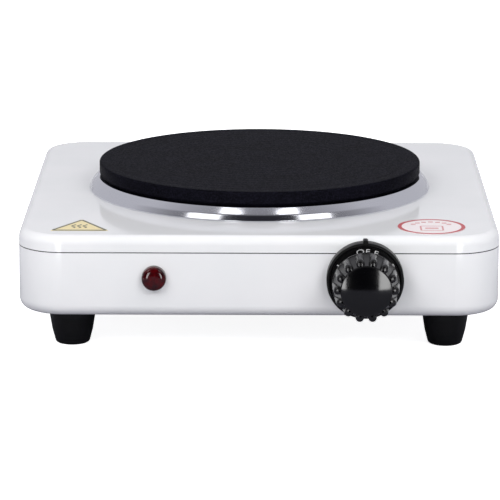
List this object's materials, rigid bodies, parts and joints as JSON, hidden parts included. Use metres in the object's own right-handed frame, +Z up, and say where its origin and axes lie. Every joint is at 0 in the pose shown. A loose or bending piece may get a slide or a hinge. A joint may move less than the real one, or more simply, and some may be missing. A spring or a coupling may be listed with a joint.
{
  "type": "electric hot plate",
  "caption": "Compact electric hot plate: cast iron cooking plate on a bright ring in a white enamelled housing with a ribbed control knob and a red pilot lamp.",
  "frame": {"origin": "centre of the whole outline, on the surface that the feet stand on", "axes": "+Z up, -Y towards the control knob at the front, +X to the right seen from the front"},
  "size_m": [0.22, 0.2594, 0.0684],
  "materials": {
    "white_enamel": "gloss white baked enamel on steel sheet",
    "black_iron": "matte black heat-resistant coating",
    "chrome_ring": "bright chrome plate on pressed steel",
    "zinc_steel": "bright zinc plate",
    "aluminised_sheet": "aluminised steel sheet",
    "element_tube": "oxidised heater alloy",
    "element_cement": "fired insulating cement",
    "mica_pad": "pressed mica board",
    "steatite": "unglazed steatite",
    "knob_plastic": "gloss black thermoset moulding",
    "dial_plastic": "matte black moulding with white print",
    "foot_plastic": "matte black moulded rubber",
    "gland_plastic": "black nylon",
    "block_plastic": "natural nylon",
    "spring_steel": "spring steel strip",
    "plated_shaft": "nickel plated steel",
    "brass": "bright brass",
    "red_lens": "clear red polycarbonate",
    "lamp_glass": "clear glass",
    "triangle_print": "printed vinyl with a satin face",
    "round_print": "printed vinyl with a satin face",
    "rating_foil": "satin foil, blank",
    "brown_silicone": "silicone insulation",
    "black_silicone": "silicone insulation",
    "blue_silicone": "silicone insulation",
    "green_silicone": "silicone insulation, green with a yellow stripe",
    "white_silicone": "silicone insulation"
  },
  "bodies": {
    "housing": {"top_cover": "white_enamel", "base_pan": "white_enamel", "cooking_plate": "black_iron", "trim_ring": "chrome_ring", "foot_screws": "zinc_steel", "corner_posts": "zinc_steel", "centre_stud": "zinc_steel", "stud_washer": "zinc_steel", "stud_nut": "zinc_steel", "clamp_bridge": "zinc_steel", "thermostat_frame": "zinc_steel", "thermostat_screws": "zinc_steel", "terminal_screws": "zinc_steel", "earth_screw": "zinc_steel", "earth_nut": "zinc_steel", "earth_tag": "zinc_steel", "block_screw": "zinc_steel", "pilot_clip": "zinc_steel", "stack_rivet": "zinc_steel", "element_cover": "aluminised_sheet", "heat_shield": "aluminised_sheet", "heating_coil": "element_tube", "element_pins": "element_tube", "element_fill": "element_cement", "insulation_pad": "mica_pad", "terminal_bar": "steatite", "thermostat_body": "steatite", "stack_spacer": "steatite", "knob_bezel": "dial_plastic", "foot_front_left": "foot_plastic", "foot_front_right": "foot_plastic", "foot_rear_left": "foot_plastic", "foot_rear_right": "foot_plastic", "cable_gland": "gland_plastic", "gland_nut": "gland_plastic", "terminal_block": "block_plastic", "pilot_barrel": "block_plastic", "bimetal_strip": "spring_steel", "thermostat_bush": "brass", "terminal_sleeves": "brass", "thermostat_tabs": "brass", "pilot_lens": "red_lens", "pilot_bulb": "lamp_glass", "triangle_label": "triangle_print", "round_label": "round_print", "rating_plate": "rating_foil", "live_lead": "brown_silicone", "switched_lead": "black_silicone", "neutral_lead": "blue_silicone", "earth_lead": "green_silicone", "lamp_leads": "white_silicone"},
    "knob": {"knob_grip": "knob_plastic", "knob_dial": "dial_plastic", "knob_cap": "knob_plastic", "knob_clip": "spring_steel", "thermostat_spindle": "plated_shaft"},
    "adjuster": {"adjusting_pin": "steatite"},
    "contact": {"contact_blade": "brass"}
  },
  "joints": [
    {"name": "knob_turn", "type": "hinge", "parent": "housing", "child": "knob", "pos_m": [0.0481, -0.1033, 0.0361], "axis": [0, 1, 0], "range_deg": [0, 300]},
    {"name": "adjuster_travel", "type": "slide", "parent": "housing", "child": "adjuster", "axis": [0, 1, 0], "range_m": [0, 0.00045]},
    {"name": "contact_swing", "type": "hinge", "parent": "housing", "child": "contact", "pos_m": [0.0481, -0.0791, 0.0401], "axis": [1, 0, 0], "range_deg": [0, 6]}
  ],
  "couplings": [
    {"joint": "adjuster_travel", "follows": "knob_turn", "m_per_rad": 0.000085935},
    {"joint": "contact_swing", "follows": "knob_turn", "ratio": 0.019998}
  ]
}
